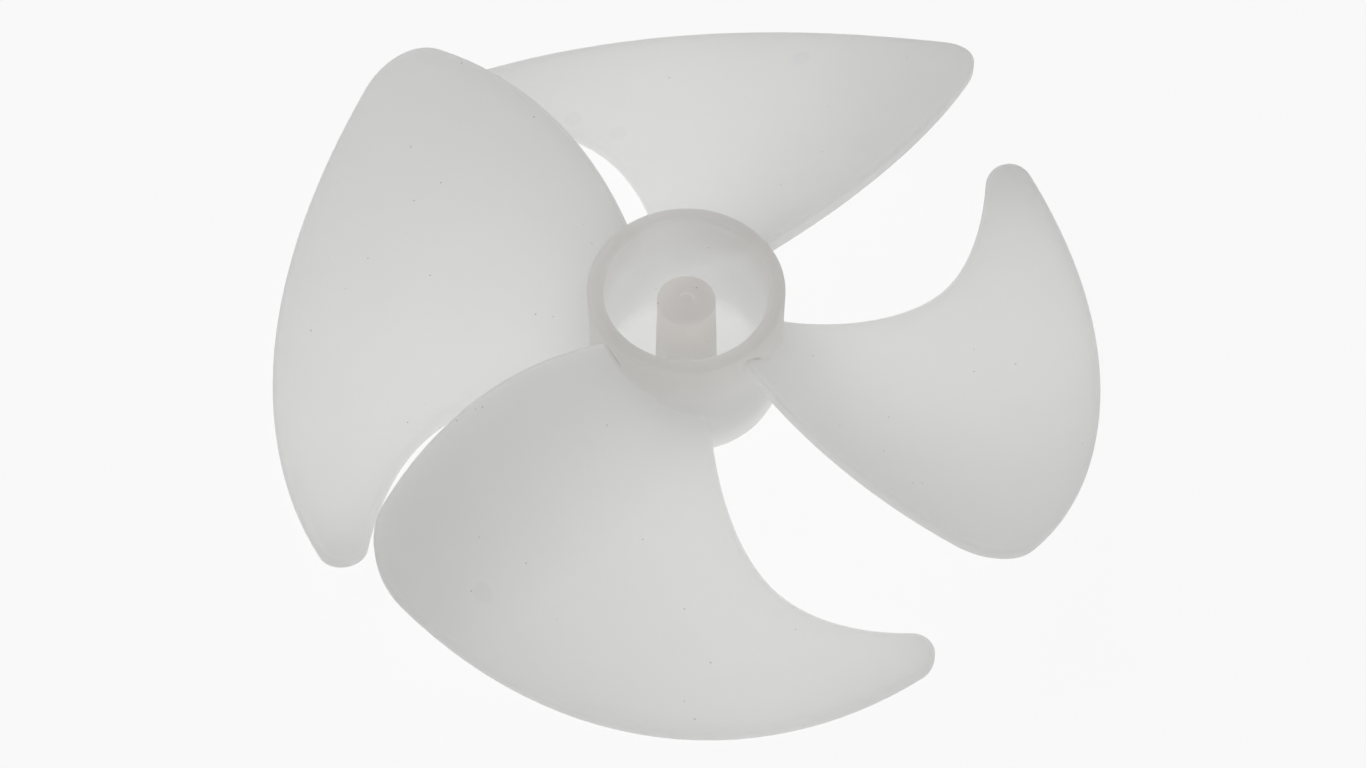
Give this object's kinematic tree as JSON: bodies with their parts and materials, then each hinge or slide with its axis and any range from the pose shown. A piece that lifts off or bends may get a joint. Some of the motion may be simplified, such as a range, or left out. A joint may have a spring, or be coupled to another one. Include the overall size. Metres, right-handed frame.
{
  "type": "refrigerator fan blade",
  "caption": "Milky translucent moulded axial fan wheel with hooked blades round a hub cup and a central shaft boss.",
  "frame": {"origin": "centre of the shaft bore's mouth, on the closed end face of the hub", "axes": "+Z along the fan axis, from the closed end to the open end of the hub cup; +X through the middle of one blade"},
  "size_m": [0.1076, 0.1076, 0.0228],
  "materials": {
    "natural_plastic": "satin"
  },
  "bodies": {
    "root": {"fan_blade": "natural_plastic"}
  },
  "joints": []
}
